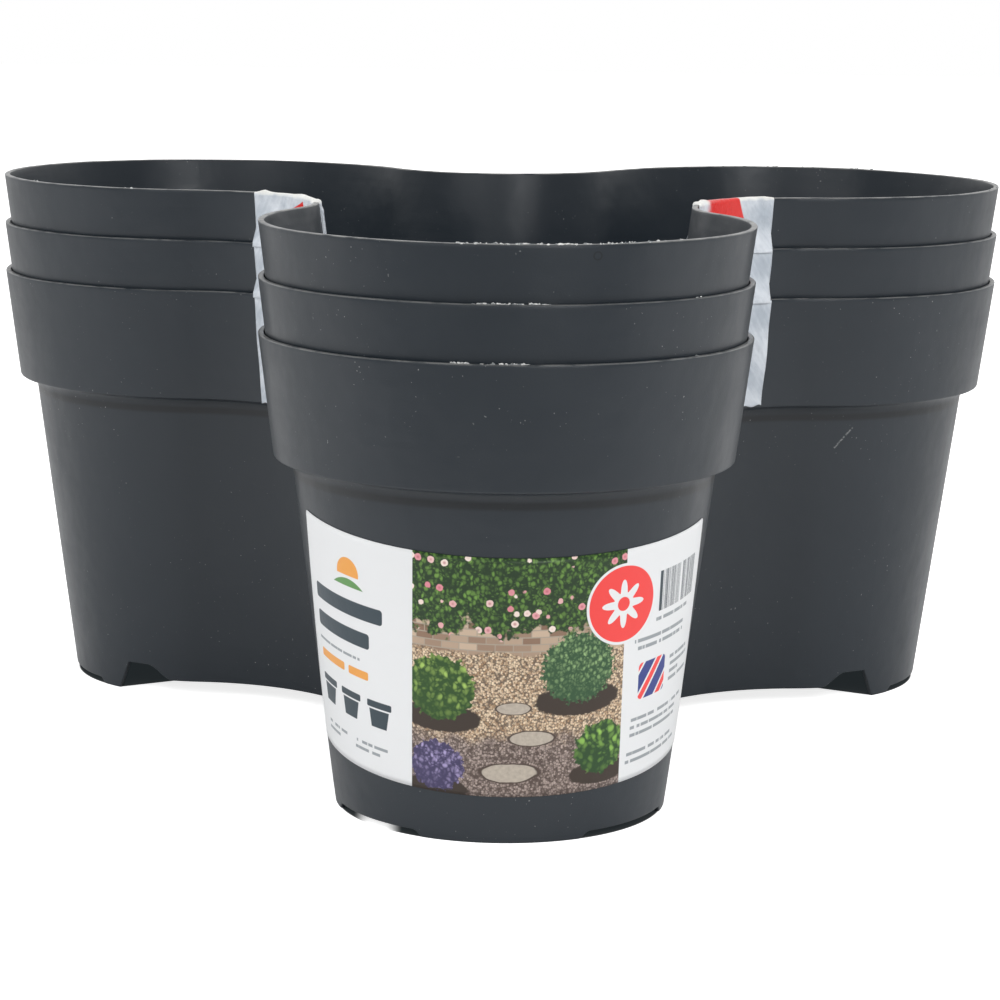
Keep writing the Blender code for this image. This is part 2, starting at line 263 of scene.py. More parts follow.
def inner_section():
    """(inset, z) from the floor, up the inside and over to the rim's top."""
    fillet_z = FLOOR_TOP + FLOOR_FILLET
    foot = wall_inset(fillet_z) + WALL
    points = quarter(foot + FLOOR_FILLET, fillet_z, FLOOR_FILLET, (270, 180), FILLET_STEPS)
    points += between((foot, fillet_z), (wall_inset(NECK) + WALL, NECK), WALL_ROWS)
    points += quarter(wall_inset(NECK) - SHOULDER_RADIUS, NECK, SHOULDER_RADIUS + WALL, (0, 90),
                      SHOULDER_STEPS)
    ledge = points[-1][1] + LEDGE_RISE
    rim_z = POT_HEIGHT - RIM_ROUND
    points.append((band_inset(ledge) + WALL + LEDGE_RISE, ledge))
    points += straight(band_inset, ledge + HOLD, rim_z - HOLD, INNER_BAND_ROWS, WALL)
    points += quarter(band_inset(rim_z) + WALL - RIM_ROUND, rim_z, RIM_ROUND, (0, 90), EDGE_STEPS)
    return points


# Pieces

SMOOTH_ANGLE = 35  # degrees, above which an edge is drawn sharp
FILM_SMOOTH_ANGLE = 60


def finished(mesh, name):
    """The mesh that a bmesh ends as."""
    data = bpy.data.meshes.new(name)
    mesh.to_mesh(data)
    mesh.free()
    return data


def add_object(name, data):
    thing = bpy.data.objects.new(name, data)
    bpy.context.scene.collection.objects.link(thing)
    return thing


def add_piece(name, data, material, smooth_angle=SMOOTH_ANGLE):
    """A new piece of the part, with its material, shaded smooth with edges above an angle drawn sharp."""
    piece = add_object(name, data)
    data.materials.append(material)
    data.shade_smooth()
    data.set_sharp_from_angle(angle=math.radians(smooth_angle))
    return piece


def add_sheet_faces(mesh, layer, grid, flat):
    """Faces between the lines of a grid of vertices, with every vertex's place on the flat sheet."""
    for line, following in zip(grid, grid[1:]):
        for row in range(len(line) - 1):
            face = mesh.faces.new((line[row], following[row], following[row + 1], line[row + 1]))
            for corner in face.loops:
                corner[layer].uv = flat[corner.vert]


def thicken(sheet, thickness):
    solid = sheet.modifiers.new("thickness", "SOLIDIFY")
    solid.thickness = thickness
    solid.offset = 1


# Pots

RIM_WAVE = 0.00022  # how far a rim strays up and down
RIM_WAVE_LENGTH = 0.030
RIM_WAVE_DEPTH = 0.012  # how far down the wave fades out
RIM_WAVES_APART = 7  # from one pot's place in the noise to the next


def rim_wave(spot, seed):
    """A moulded rim isn't quite level. It fades out below the rim."""
    fade = max(0, 1 - (POT_HEIGHT - spot.z)/RIM_WAVE_DEPTH)
    place = Vector((spot.x, spot.y, 0))/RIM_WAVE_LENGTH + Vector((0, 0, RIM_WAVES_APART*seed))
    return RIM_WAVE*fade*noise.noise(place)


def drain_spots():
    spots = [(0, MIDDLE_Y)]
    for lobe in range(LOBES):
        direction = FRONT + lobe*PITCH_ANGLE
        middle_x, middle_y = polar(LOBE_PITCH, direction)
        for hole in range(DRAINS_PER_LOBE):
            x, y = polar(DRAIN_RING_RADIUS, direction + hole*math.tau/DRAINS_PER_LOBE)
            spots.append((middle_x + x, middle_y + y + MIDDLE_Y))
    return spots


def ring_edges(mesh, ring):
    return [mesh.edges.get((a, b)) or mesh.edges.new((a, b)) for a, b in zip(ring, ring[1:] + ring[:1])]


def circle(mesh, x, y, z):
    ring = []
    for side in range(DRAIN_SIDES):
        across, along = polar(DRAIN_RADIUS, side*math.tau/DRAIN_SIDES)
        ring.append(mesh.verts.new((x + across, y + along, z)))
    return ring


def join_rings(mesh, first, second):
    for number in range(len(first)):
        after = (number + 1) % len(first)
        mesh.faces.new((first[number], second[number], second[after], first[after]))


def add_floor(mesh, underside, topside):
    """The floor between its two outlines, with the drain holes through it."""
    low_edges = ring_edges(mesh, underside)
    high_edges = ring_edges(mesh, topside)
    for x, y in drain_spots():
        low = circle(mesh, x, y, FLOOR_BOTTOM)
        high = circle(mesh, x, y, FLOOR_TOP)
        join_rings(mesh, low, high)
        low_edges += ring_edges(mesh, low)
        high_edges += ring_edges(mesh, high)
    bmesh.ops.triangle_fill(mesh, use_beauty=True, edges=low_edges, normal=(0, 0, -1))
    bmesh.ops.triangle_fill(mesh, use_beauty=True, edges=high_edges, normal=(0, 0, 1))


def pot_mesh(name, seed):
    profile = skirt_profile()
    columns = outline_columns(profile)
    mesh = bmesh.new()
    loops = []
    for column in columns:
        section = outer_section(skirt_height(column, profile)) + inner_section()
        loop = []
        for inset, z in section:
            spot = point(column, inset, z)
            spot.z += rim_wave(spot, seed)
            loop.append(mesh.verts.new(spot))
        loops.append(loop)
    under = len(outer_section(0)) - 1
    last = len(loops[0]) - 1
    for loop, following in zip(loops, loops[1:] + loops[:1]):
        for row in range(last):
            if row != under:
                mesh.faces.new((loop[row], loop[row + 1], following[row + 1], following[row]))
        mesh.faces.new((loop[last], loop[0], following[0], following[last]))
    add_floor(mesh, [loop[under] for loop in loops], [loop[under + 1] for loop in loops])
    bmesh.ops.recalc_face_normals(mesh, faces=mesh.faces)
    return finished(mesh, name)


def add_pots():
    for tier, name in enumerate(TIERS):
        shell = f"{name}_pot_shell"
        material = plastic(f"{name}_pot_plastic", tier)
        pot = add_piece(shell, pot_mesh(shell, tier), material)
        pot.location.z = tier*NEST_PITCH
        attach(pot, name)
        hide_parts(f"{name}_pot")


# Label, laid out flat in millimetres: x from the front lobe's tip, y up from the lower edge

MM = 0.001
LABEL_LEFT = -81.3
LABEL_RIGHT = 82.0
LABEL_TALL = 78.6
LABEL_Z = 0.0158  # the lower edge, at the front
LABEL_ARCH = 0.2  # how far the ends sag below a straight sheet
LABEL_TILT = -0.009  # its slope, down to the right
LABEL_CORNER = 1.2
LABEL_CORNER_STEPS = 6
LABEL_LIFT = 0.00012  # in metres, like the thickness
LABEL_THICKNESS = 0.00016
LABEL_COLUMNS = 120
LABEL_ROWS = 40
DRAFT = math.atan(TAPER)


def label_point(x, y, lift):
    """Where a point of the flat sheet comes to lie on the cone of the front lobe's wall."""
    low = (RIM_RADIUS - wall_inset(LABEL_Z))/math.sin(DRAFT)
    across = x*MM
    along = low + (y + LABEL_TILT*x - LABEL_ARCH*(x/LABEL_RIGHT)**2)*MM
    distance = math.hypot(across, along)
    local = math.atan2(across, along)/math.sin(DRAFT)
    z = LABEL_Z + (distance - low)*math.cos(DRAFT)
    return point(lobe_column(0, local), wall_inset(z) - lift, z)


def label_grid(x_share, y_share):
    """A point of the flat sheet, from shares of its width and height, with its corners rounded."""
    x = LABEL_LEFT + (LABEL_RIGHT - LABEL_LEFT)*x_share
    from_end = max(0, min(x - LABEL_LEFT, LABEL_RIGHT - x))
    cut = 0
    if from_end < LABEL_CORNER:
        cut = LABEL_CORNER - math.sqrt(LABEL_CORNER**2 - (LABEL_CORNER - from_end)**2)
    return x, cut + (LABEL_TALL - 2*cut)*y_share


def label_shares():
    """Shares of the width: even, and closer together at the rounded corners."""
    width = LABEL_RIGHT - LABEL_LEFT
    turns = [step/LABEL_CORNER_STEPS*math.pi/2 for step in range(LABEL_CORNER_STEPS)]
    corner = [LABEL_CORNER*(1 - math.cos(turn))/width for turn in turns]
    even = [corner[-1] + (1 - 2*corner[-1])*step/LABEL_COLUMNS for step in range(1, LABEL_COLUMNS)]
    return corner + even + [1 - share for share in reversed(corner)]


def add_label():
    mesh = bmesh.new()
    layer = mesh.loops.layers.uv.new("sheet")
    shares = {}
    grid = []
    for x_share in label_shares():
        line = []
        for row in range(LABEL_ROWS + 1):
            x, y = label_grid(x_share, row/LABEL_ROWS)
            vert = mesh.verts.new(label_point(x, y, LABEL_LIFT))
            shares[vert] = ((x - LABEL_LEFT)/(LABEL_RIGHT - LABEL_LEFT), y/LABEL_TALL)
            line.append(vert)
        grid.append(line)
    add_sheet_faces(mesh, layer, grid, shares)
    label = add_piece("label_sheet", finished(mesh, "label_sheet"), label_material())
    thicken(label, LABEL_THICKNESS)
    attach(label, "bottom")
    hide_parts("wrap_label")


# Shader graphs

def operator(operation, turned=False):
    """A method of Value that adds a Math node, with its terms turned round where it stands second."""
    def add_node(value, *others):
        terms = (value, *others)
        return value.graph.math(operation, *(terms[::-1] if turned else terms))
    return add_node


class Value:
    """A number in a shader graph. Plain arithmetic on it adds Math nodes."""

    __add__ = operator("ADD")
    __radd__ = __add__
    __sub__ = operator("SUBTRACT")
    __rsub__ = operator("SUBTRACT", turned=True)
    __mul__ = operator("MULTIPLY")
    __truediv__ = operator("DIVIDE")
    __abs__ = operator("ABSOLUTE")
    __lt__ = operator("LESS_THAN")
    __gt__ = operator("GREATER_THAN")

    def __init__(self, graph, socket):
        self.graph = graph
        self.socket = socket


class Graph:
    """The node tree of a material or of the world, with the shader that it starts with."""

    def __init__(self, owner):
        self.owner = owner
        owner.use_nodes = True
        self.nodes = owner.node_tree.nodes
        self.links = owner.node_tree.links
        self.shader = self.nodes.get("Principled BSDF") or self.nodes["Background"]

    def feed(self, socket, value):
        if isinstance(value, Value):
            self.links.new(value.socket, socket)
        elif isinstance(value, tuple) and len(value) == 3 and len(socket.default_value) == 4:
            socket.default_value = (*value, 1)
        else:
            socket.default_value = value

    def set(self, name, value):
        self.feed(self.shader.inputs[name], value)

    def node(self, kind, output, inputs, **settings):
        """One output of a new node, whose inputs are fed by name or number."""
        node = self.nodes.new(kind)
        for name, value in settings.items():
            setattr(node, name, value)
        for name, value in inputs.items():
            self.feed(node.inputs[name], value)
        return Value(self, node.outputs[output])

    def math(self, operation, *values):
        return self.node("ShaderNodeMath", 0, dict(enumerate(values)), operation=operation)

    def smaller(self, *values):
        return reduce(partial(self.math, "MINIMUM"), values)

    def larger(self, *values):
        return reduce(partial(self.math, "MAXIMUM"), values)

    def ramp(self, value, low, high):
        """0 below low, 1 above high, smooth between them. Low may be above high."""
        inputs = {"Value": value, "From Min": low, "From Max": high}
        return self.node("ShaderNodeMapRange", "Result", inputs, interpolation_type="SMOOTHSTEP")

    def mix(self, share, first, second):
        """A colour between two colours."""
        return self.node("ShaderNodeMix", 2, {0: share, 6: first, 7: second}, data_type="RGBA")

    def blend(self, value, low, high, first, second):
        """The first colour where a value is below low, the second above high."""
        return self.mix(self.ramp(value, low, high), first, second)

    def place(self, output="Object"):
        return self.node("ShaderNodeTexCoord", output, {})

    def ray(self, output):
        return self.node("ShaderNodeLightPath", output, {})

    def split(self, vector):
        x = self.node("ShaderNodeSeparateXYZ", 0, {0: vector})
        return [Value(self, output) for output in x.socket.node.outputs]

    def join(self, x, y, z=0.0):
        return self.node("ShaderNodeCombineXYZ", 0, {0: x, 1: y, 2: z})

    def length(self, x, y):
        return self.math("SQRT", x*x + y*y)

    def noise(self, vector, scale, detail=2.0, roughness=0.5):
        """Soft noise about 0.5."""
        inputs = {"Vector": vector, "Scale": scale, "Detail": detail, "Roughness": roughness}
        return self.node("ShaderNodeTexNoise", "Fac", inputs)

    def cloud(self, vector, scale, detail, low, high):
        """Soft noise as a share: 0 where it is below low and 1 above high."""
        return self.ramp(self.noise(vector, scale, detail), low, high)

    def cells(self, vector, scale):
        """Distance to the nearest of scattered points, in cells, and a random number for each point."""
        distance = self.node("ShaderNodeTexVoronoi", "Distance", {"Vector": vector, "Scale": scale})
        colour = Value(self, distance.socket.node.outputs["Color"])
        return distance, self.split(colour)[0]

    def bump(self, height, distance, under=None):
        """A normal that is bent by a height, over another bent normal if there is one."""
        inputs = {"Height": height, "Distance": distance}
        if under is not None:
            inputs["Normal"] = under
        return self.node("ShaderNodeBump", "Normal", inputs)


# Pot plastic

PLASTIC = (0.014, 0.020, 0.027)
PLASTIC_LIGHT = (0.022, 0.029, 0.037)
DUST = (0.42, 0.43, 0.42)
# Pale colour of the trimmed rims' tops: partly wear and partly a painted highlight
WORN_RIM_HIGHLIGHT_TONE = (0.43, 0.43, 0.41)
WORN_RIM_HIGHLIGHT_SHARES = (0.32, 0.28, 0.42)  # how pale the trimmed rims are, from the lowest pot up: partly wear, partly a painted highlight
SHADED_CORNER_Z = NECK - 0.0008  # the corner below the band's ledge, where little light comes and shade is painted into the colour
SHADED_CORNER_REACH = 0.0020
# Dark tone of the painted shade below the ledge, and also of the ring mark on the top pot
SHADE_AND_MARK_TONE = (0.006, 0.008, 0.010)
CORNER_SHADE_SHARE = 0.8
SPECK_SHARE = 0.5
TIERS_APART = 0.7  # from one pot's place in the noise to the next
# Noises, each as its repeats to a metre, detail and, where it isn't the usual one, roughness
MOTTLE = (22, 3)
GRAIN = (1400, 3, 0.6)
WAVES = (60, 2)
FLOW_ACROSS = 9  # the flow lines lie level: few repeats across and many up
FLOW_UP = 260
FLOW_NOISE = (1, 2)
# Clouds: repeats and detail, then the noise values where a cloud begins and where it is full
WORN_RIM_HIGHLIGHT_CLOUD = (160, 3, 0.25, 0.6)
DUSTY = (24, 2, 0.44, 0.60)
SPECKS = (1500, 0, 0.825, 0.885)
SHEEN = (45, 4, 0.2, 0.8)
PLASTIC_ROUGHNESS = 0.28  # the least, and what the sheen and the flow lines add to it
SHEEN_ROUGHNESS = 0.08
FLOW_ROUGHNESS = 0.06
GRAIN_DEPTH = 0.00003
WAVE_DEPTH = 0.0005
FLOW_DEPTH = 0.00006
MARKS_FRONT = 0.06  # the scuff and the ring mark are only before this y
SCUFF_START = (0.1221, 0.0986)  # x and z of the light scuff on the lowest pot's right lobe
SCUFF_END = (0.1287, 0.1062)
SCUFF_WIDTH = 0.0005
SCUFF_CLOUD = (900, 2, 0.40, 0.56)
SCUFF_SEED = 0.3
RING_MARK = (0.0260, 0.1514)  # x and z of the small round mark on the top pot's front
RING_MARK_RADIUS = 0.0012
RING_MARK_FADE = 0.00036  # from the middle of its line to where it is gone
RING_MARK_SHARE = 0.8


def scuff(graph, x, z):
    """A slanted light scuff, broken up along its way."""
    across = SCUFF_END[0] - SCUFF_START[0]
    up = SCUFF_END[1] - SCUFF_START[1]
    span = math.hypot(across, up)
    along = ((x - SCUFF_START[0])*across + (z - SCUFF_START[1])*up)/span
    aside = ((x - SCUFF_START[0])*up - (z - SCUFF_START[1])*across)/span
    over = graph.larger(abs(along - span/2) - span/2, abs(aside) - SCUFF_WIDTH/2)
    broken = graph.cloud(graph.join(along, aside, SCUFF_SEED), *SCUFF_CLOUD)
    return graph.ramp(over, SCUFF_WIDTH/2, -SCUFF_WIDTH/2)*broken


def ring_mark(graph, x, z):
    away = graph.length(x - RING_MARK[0], z - RING_MARK[1])
    return graph.ramp(abs(away - RING_MARK_RADIUS), RING_MARK_FADE, 0)*RING_MARK_SHARE


def plastic(name, tier):
    """Satin charcoal plastic: faint mottling and flow lines, a pale trimmed rim that is partly a painted
    highlight, painted shade below the band's ledge, dust specks, single marks.
    """
    graph = Graph(bpy.data.materials.new(name))
    x, y, z = graph.split(graph.place())
    place = graph.join(x, y, z + TIERS_APART*tier)
    colour = graph.mix(graph.noise(place, *MOTTLE), PLASTIC, PLASTIC_LIGHT)
    # The rim's top is paled in patches: partly wear, partly a painted highlight.
    rim = graph.ramp(z, POT_HEIGHT - RIM_ROUND, POT_HEIGHT - RIM_ROUND/4)
    colour = graph.mix(rim*graph.cloud(place, *WORN_RIM_HIGHLIGHT_CLOUD)*WORN_RIM_HIGHLIGHT_SHARES[tier], colour, WORN_RIM_HIGHLIGHT_TONE)
    # Painted shade: the wall just below the band's ledge is darkened, where little light comes.
    corner = graph.ramp(abs(z - SHADED_CORNER_Z), SHADED_CORNER_REACH, SHADED_CORNER_REACH/4)
    colour = graph.mix(corner*CORNER_SHADE_SHARE, colour, SHADE_AND_MARK_TONE)
    speck = graph.cloud(place, *SPECKS)*graph.cloud(place, *DUSTY)
    front = y < MARKS_FRONT
    if TIERS[tier] == "bottom":
        speck = graph.larger(speck, scuff(graph, x, z)*front)
    if TIERS[tier] == "top":
        colour = graph.mix(ring_mark(graph, x, z)*front, colour, SHADE_AND_MARK_TONE)
    graph.set("Base Color", graph.mix(speck*SPECK_SHARE, colour, DUST))
    flow = graph.noise(graph.join(x*FLOW_ACROSS, y*FLOW_ACROSS, z*FLOW_UP + tier), *FLOW_NOISE)
    sheen = graph.cloud(place, *SHEEN)
    graph.set("Roughness", sheen*SHEEN_ROUGHNESS + flow*FLOW_ROUGHNESS + PLASTIC_ROUGHNESS)
    grained = graph.bump(graph.noise(place, *GRAIN), GRAIN_DEPTH)
    waved = graph.bump(graph.noise(place, *WAVES), WAVE_DEPTH, grained)
    graph.set("Normal", graph.bump(flow, FLOW_DEPTH, waved))
    return graph.owner


# Label print

WHITE = (0.79, 0.80, 0.81)
INK = (0.035, 0.055, 0.070)
GREY_INK = (0.22, 0.25, 0.27)
ORANGE = (0.83, 0.36, 0.07)
RED = (0.88, 0.060, 0.055)
GREEN = (0.12, 0.30, 0.09)
BLUE = (0.03, 0.05, 0.24)
SHARP = 0.10  # softness of a printed edge, mm
PAPER_ROUGHNESS = 0.38
PAPER_NOISE = (220, 3)
PAPER_DEPTH = 0.00012  # metres


class Print:
    """Layers of ink on the flat label, laid one over another. Lengths in millimetres."""

    def __init__(self, graph):
        self.graph = graph
        across, up, _ = graph.split(graph.place("UV"))
        self.x = across*(LABEL_RIGHT - LABEL_LEFT) + LABEL_LEFT
        self.y = up*LABEL_TALL
        self.colour = WHITE

    def box(self, x, y, wide, tall, corner=0.0):
        """Distance to a rounded box round a centre, below 0 inside."""
        graph = self.graph
        over_x = abs(self.x - x) - (wide/2 - corner)
        over_y = abs(self.y - y) - (tall/2 - corner)
        if corner == 0:
            return graph.larger(over_x, over_y)
        out = graph.length(graph.larger(over_x, 0.0), graph.larger(over_y, 0.0))
        return out + graph.smaller(graph.larger(over_x, over_y), 0.0) - corner

    def disc(self, x, y, radius):
        return self.graph.length(self.x - x, self.y - y) - radius

    def inside(self, distance):
        return self.graph.ramp(distance, SHARP, -SHARP)

    def lay(self, share, colour):
        self.colour = self.graph.mix(share, self.colour, colour)

    def fill(self, distance, colour):
        self.lay(self.inside(distance), colour)


def label_material():
    graph = Graph(bpy.data.materials.new("label_print"))
    sheet = Print(graph)
    garden(sheet)
    left_panel(sheet)
    right_panel(sheet)
    for block in SMALL_PRINT:
        small_print(sheet, *block)
    badge(sheet)
    graph.set("Base Color", sheet.colour)
    graph.set("Roughness", PAPER_ROUGHNESS)
    graph.set("Normal", graph.bump(graph.noise(graph.place(), *PAPER_NOISE), PAPER_DEPTH))
    return graph.owner


# Small print: x, y, wide, tall, from line to line, stroke, seed
SMALL_PRINT = (
    (-57, 37.4, 36, 1.8, 1.8, 0.9, 3.1),
    (-64.5, 8.2, 14, 4.6, 2.3, 1.0, 5.3),
    (-46.0, 8.2, 15, 4.6, 2.3, 1.0, 6.7),
    (66.0, 52.2, 24, 2.0, 2.0, 1.2, 8.3),
    (60.0, 45.6, 31, 5.2, 2.6, 1.2, 1.7),
    (71.5, 32.8, 16, 10.4, 2.6, 1.2, 2.9),
    (60.0, 17.6, 32, 7.8, 2.6, 1.1, 4.9),
    (59.0, 7.4, 33, 5.2, 2.6, 1.1, 7.1),
)
SMALL_PRINT_SHARE = 0.85
WORD_SCALE = 0.55  # of the noise along a line that breaks it into words
WORD_CLOUD = (1.0, 1.0, 0.36, 0.42)
WORDS_APART = 3.7  # from one line's place in the noise to the next
ENDS_APART = 1.9
END_SCALE = 2.3
LINE_SHARE = 0.75  # how much of the block's width an average line fills


def small_print(sheet, x, y, wide, tall, line, stroke, seed):
    """A block of small print as plain broken lines."""
    graph = sheet.graph
    lines = (sheet.y - (y - tall/2))/line
    row = graph.math("FLOOR", lines)
    within = abs(lines - row - 0.5)*line
    words = graph.cloud(graph.join(sheet.x*WORD_SCALE, row*WORDS_APART, seed), *WORD_CLOUD)
    length = graph.noise(graph.join(row*ENDS_APART, seed, 0.5), END_SCALE, 0.0)
    end = sheet.x - (x - wide/2) - wide*LINE_SHARE - (length - 0.5)*wide
    share = sheet.inside(sheet.box(x, y, wide, tall))*sheet.inside(within - stroke/2)
    sheet.lay(share*words*sheet.inside(end)*SMALL_PRINT_SHARE, GREY_INK)


GARDEN_LEFT = -29.4
GARDEN_RIGHT = 40.0
GARDEN_OVER = 1  # past the label's upper and lower edges
WOBBLE = (0.12, 3)
GRAVEL_SUN = ((0.36, 0.22, 0.12), (0.86, 0.70, 0.50))
GRAVEL_SHADE = ((0.09, 0.06, 0.05), (0.46, 0.37, 0.33))
GRAVEL_GAP = (0.07, 0.045, 0.035)
BRICK = ((0.24, 0.14, 0.09), (0.58, 0.44, 0.32))
BRICK_WIDE = 5.6
BRICK_TALL = 2.3
BRICKS_APART = (7.3, 3.1)  # from one brick's place in the noise to the next, across and up
BRICK_CLOUD = (1.0, 0, 0.3, 0.7)
MORTAR = (0.40, 0.34, 0.27)
JOINT_ACROSS = (0.46, 0.49)  # where a joint begins, from a brick's middle, in bricks
JOINT_UP = (0.38, 0.46)
HEDGE = ((0.010, 0.035, 0.008), (0.17, 0.34, 0.06))
ROSES = ((0.72, 0.25, 0.30), (0.90, 0.76, 0.68))
ROSE_HEART = (0.50, 0.10, 0.15)
ROSE_SCALE = 0.27  # roses to a millimetre
ROSELESS = 0.45  # the share of places without a rose
ROSE_RANGE = (0.45, 0.95)
ROSE_EDGE = (0.42, 0.36)
ROSE_RAGGED = 0.16
ROSE_NOISE = (0.9, 2)
HEART_EDGE = (0.20, 0.05)
HEART_SHARE = 0.6
HEDGE_LEAF = 1.5
HEDGE_FOOT = (68.5, 70.0)  # y of its lower edge, which strays by two noises
HEDGE_STRAY = (24, 5)
HEDGE_NOISE = (0.6, 2)
WALL_FOOT = (49.5, 50.5)  # y where the gravel ends and the wall begins
WALL_STRAY = 5
SHADE_EDGE = (32, 25)  # y where the gravel goes from sun to shade
SHADE_STRAY = 18
GRAVEL_SCALE = 1.5
GAP_RANGE = (0.40, 0.75)
GAP_SHARE = 0.8
SLAB_STRAY = 0.5
SLAB_NOISE = (0.8, 3)
SLAB_RIM = (1.14, 1.02)  # a slab's dark rim and its face, in half widths
SLAB_FACE = (0.98, 0.92)
SLAB = ((0.34, 0.29, 0.24), (0.62, 0.55, 0.46))
SOIL = (0.040, 0.026, 0.018)
# Beds: x, y, size, leaf size, dark and light leaf
BEDS = (
    (-20, 35, 11.5, 2.0, (0.020, 0.070, 0.010), (0.40, 0.60, 0.13)),
    (24, 42, 12.5, 1.3, (0.025, 0.080, 0.030), (0.34, 0.52, 0.22)),
    (-21, 9, 9.0, 1.5, (0.050, 0.040, 0.110), (0.50, 0.42, 0.72)),
    (32, 14, 9.5, 2.3, (0.015, 0.060, 0.012), (0.30, 0.56, 0.10)),
)
SLABS = ((2, 8, 18, 6.4), (9, 19.5, 14, 5.0), (3, 29.5, 11, 3.9))
# Leaves: how an upper leaf and a deeper one fade from their middles, in leaves, and how bright they are
UPPER_LEAF = (0.55, 0.15)
DEEPER_LEAF = (0.60, 0.20)
UPPER_DARKEST = 0.35
DEEPER_BRIGHTEST = 0.5
DEEPER_FINER = 1.7
UPPER_TALL = 0.7
DEEPER_WIDE = 0.8
LEAF_BEND = 2
LEAF_BEND_SCALE = 0.5  # of the noise that bends the leaves, to a leaf
DEEPER_SEED = 3.0  # from the upper leaves' place in the noise to the deeper ones'
HEDGE_SEED = 1.0
BED_SEED = 5.0
# Bushes and their mounds of soil, as shares of a bed's size: wide, tall, down, ragged, soft outer edge
BUSH = (1.0, 0.95, 0.0, 0.55, 1.0)
MOUND = (1.15, 0.42, 0.85, 0.2, 1.05)
BED_EDGE = 0.95
BED_NOISE = 1.1
SIDE_LIGHT = 0.4
SHADE_SHARE = 0.65


def leaves(graph, x, y, size, tones, seed):
    """Foliage: large leaves over small ones, with dark gaps between them."""
    bend = graph.noise(graph.join(x, y, seed), LEAF_BEND_SCALE/size, 2)*size*LEAF_BEND
    upper, upper_tone = graph.cells(graph.join(x + bend, y*UPPER_TALL, seed), 1/size)
    deeper_spot = graph.join(x*DEEPER_WIDE, y + bend, seed + DEEPER_SEED)
    deeper, deeper_tone = graph.cells(deeper_spot, DEEPER_FINER/size)
    top = graph.ramp(upper, *UPPER_LEAF)*(upper_tone*(1 - UPPER_DARKEST) + UPPER_DARKEST)
    under = graph.ramp(deeper, *DEEPER_LEAF)*deeper_tone*DEEPER_BRIGHTEST
    return graph.mix(graph.larger(top, under), *tones)


def brick_wall(graph, x, y):
    row = graph.math("FLOOR", y/BRICK_TALL)
    along = x/BRICK_WIDE + row*0.5
    brick = graph.math("FLOOR", along)
    tone = graph.cloud(graph.join(brick*BRICKS_APART[0], row*BRICKS_APART[1]), *BRICK_CLOUD)
    joint = graph.larger(graph.ramp(abs(along - brick - 0.5), *JOINT_ACROSS),
                         graph.ramp(abs(y/BRICK_TALL - row - 0.5), *JOINT_UP))
    return graph.mix(joint, graph.mix(tone, *BRICK), MORTAR)


def rose_hedge(sheet, spot):
    graph = sheet.graph
    rose, rose_tone = graph.cells(spot, ROSE_SCALE)
    blossom = graph.blend(rose_tone, *ROSE_RANGE, *ROSES)
    blossom = graph.mix(graph.ramp(rose, *HEART_EDGE)*HEART_SHARE, blossom, ROSE_HEART)
    hedge = leaves(graph, sheet.x, sheet.y, HEDGE_LEAF, HEDGE, HEDGE_SEED)
    ragged = graph.noise(spot, *ROSE_NOISE)*ROSE_RAGGED
    flowers = graph.ramp(rose + ragged, *ROSE_EDGE)*(rose_tone > ROSELESS)
    return graph.mix(flowers, hedge, blossom)


def gravel_path(sheet, spot, wobble):
    """Small stones, in the sun at the back and in the shade in front."""
    graph = sheet.graph
    stone, tone = graph.cells(spot, GRAVEL_SCALE)
    shade = graph.ramp(sheet.y + wobble*SHADE_STRAY, *SHADE_EDGE)
    gravel = graph.mix(shade, graph.mix(tone, *GRAVEL_SUN), graph.mix(tone, *GRAVEL_SHADE))
    return graph.mix(graph.ramp(stone, *GAP_RANGE)*GAP_SHARE, gravel, GRAVEL_GAP)


def garden(sheet):
    """The middle panel: a brick wall with a rose hedge, a gravel path with slabs, and planted beds."""
    graph = sheet.graph
    spot = graph.join(sheet.x, sheet.y)
    wobble = graph.noise(spot, *WOBBLE)
    panel = sheet.inside(sheet.box((GARDEN_LEFT + GARDEN_RIGHT)/2, LABEL_TALL/2,
                                   GARDEN_RIGHT - GARDEN_LEFT, LABEL_TALL + 2*GARDEN_OVER))
    stray = wobble*HEDGE_STRAY[0] + graph.noise(spot, *HEDGE_NOISE)*HEDGE_STRAY[1]
    wall = brick_wall(graph, sheet.x, sheet.y)
    back = graph.blend(sheet.y + stray, *HEDGE_FOOT, wall, rose_hedge(sheet, spot))
    path = gravel_path(sheet, spot, wobble)
    scene = graph.blend(sheet.y + wobble*WALL_STRAY, *WALL_FOOT, path, back)
    slab = graph.mix(graph.noise(spot, *SLAB_NOISE), *SLAB)
    for x, y, wide, tall in SLABS:
        away = graph.length((sheet.x - x)/wide, (sheet.y - y)/tall)*2 + (wobble - 0.5)*SLAB_STRAY
        scene = graph.blend(away, *SLAB_RIM, scene, GRAVEL_GAP)
        scene = graph.blend(away, *SLAB_FACE, scene, slab)
    for number, bed in enumerate(BEDS):
        scene = planted_bed(sheet, scene, number, *bed)
    sheet.lay(panel, scene)


def planted_bed(sheet, scene, number, x, y, size, leaf, dark, light):
    """A rounded bush over a low mound of dark soil, lit from the upper right."""
    graph = sheet.graph
    stray = graph.noise(graph.join(sheet.x, sheet.y, number), BED_NOISE/leaf, 2) - 0.5
    across = sheet.x - x
    up = sheet.y - y
    shade = graph.ramp(up + across*SIDE_LIGHT, size/2, -size)
    foliage = leaves(graph, sheet.x, sheet.y, leaf, (dark, light), number + BED_SEED)
    bush = graph.mix(shade*SHADE_SHARE, foliage, dark)
    for (wide, tall, down, ragged, edge), look in ((MOUND, SOIL), (BUSH, bush)):
        away = graph.length(across/(size*wide), (up + size*down)/(size*tall)) + stray*ragged
        scene = graph.blend(away, edge, BED_EDGE, scene, look)
    return scene


